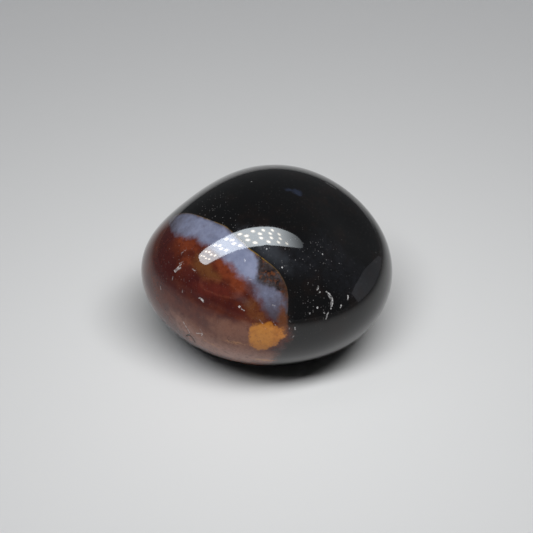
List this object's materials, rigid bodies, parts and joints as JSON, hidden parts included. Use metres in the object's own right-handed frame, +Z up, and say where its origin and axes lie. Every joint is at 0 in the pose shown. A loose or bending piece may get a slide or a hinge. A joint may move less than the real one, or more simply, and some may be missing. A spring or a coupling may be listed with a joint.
{
  "type": "tumbled sardonyx stone",
  "caption": "Polished tumbled sardonyx: a smooth rounded pebble, nearly black with a rust-brown end, a pale blue-grey chalcedony band and an ochre spot, lying on its flatter underside.",
  "frame": {"origin": "on the surface the stone lies on, under the middle of its bounding box", "axes": "+Z up, +X along the longest extent towards the rounder end, +Y towards the back; the picture looks along +Y and down"},
  "size_m": [0.03, 0.0284, 0.0202],
  "materials": {
    "polished_sardonyx": "tumble polished, glossy"
  },
  "bodies": {
    "root": {"stone": "polished_sardonyx"}
  },
  "joints": []
}
